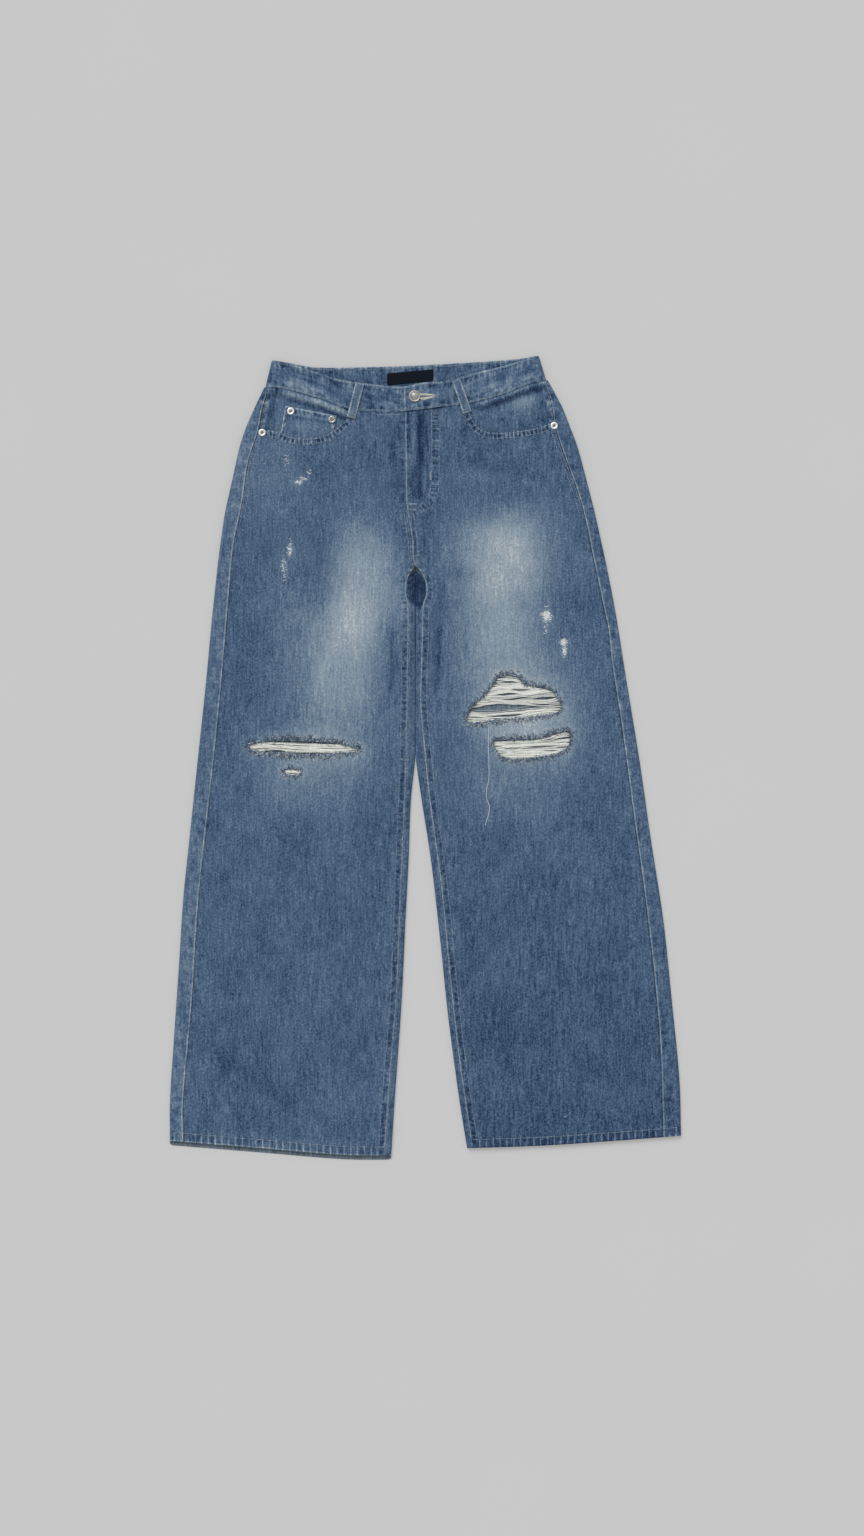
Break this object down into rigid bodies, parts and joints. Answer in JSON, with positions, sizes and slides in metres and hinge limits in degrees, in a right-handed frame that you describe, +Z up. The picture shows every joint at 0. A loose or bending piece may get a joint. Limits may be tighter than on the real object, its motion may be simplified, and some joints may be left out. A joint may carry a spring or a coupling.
{
  "type": "ripped jeans",
  "caption": "Wide-leg ripped denim jeans laid flat, buttoned, with front and back pockets, a coin pocket, yoke, belt loops, worn fades and frayed rips at the knees.",
  "frame": {"origin": "under the middle of the garment's box, on the surface it lies on", "axes": "+Y from the hems to the waist, +X towards the garment's own left leg, +Z up from the surface towards the fly side"},
  "size_m": [0.664, 1.0458, 0.0138],
  "materials": {
    "denim": "mid-blue stone-washed denim twill, faded on the thighs",
    "denim_facing": "the same denim, puckered, in the front pocket mouths",
    "bared_weft": "off-white cotton weft threads, frayed",
    "label_cloth": "black woven label, bare",
    "metal_trim": "worn nickel"
  },
  "bodies": {
    "root": {"waistband": "denim", "front_panel_right": "denim", "back_panel_right": "denim", "back_yoke_right": "denim", "back_pocket_right": "denim", "pocket_facing_right": "denim_facing", "front_panel_left": "denim", "back_panel_left": "denim", "back_yoke_left": "denim", "back_pocket_left": "denim", "pocket_facing_left": "denim_facing", "coin_pocket": "denim", "belt_loop_front_right": "denim", "belt_loop_front_left": "denim", "belt_loop_back_right": "denim", "belt_loop_back_centre": "denim", "belt_loop_back_left": "denim", "label": "label_cloth", "button": "metal_trim", "rivet_pocket_right": "metal_trim", "rivet_pocket_left": "metal_trim", "rivet_coin_outer": "metal_trim", "rivet_coin_inner": "metal_trim", "rip_threads_knee": "bared_weft", "rip_threads_knee_small": "bared_weft", "rip_threads_upper": "bared_weft", "rip_threads_lower": "bared_weft"}
  },
  "joints": []
}
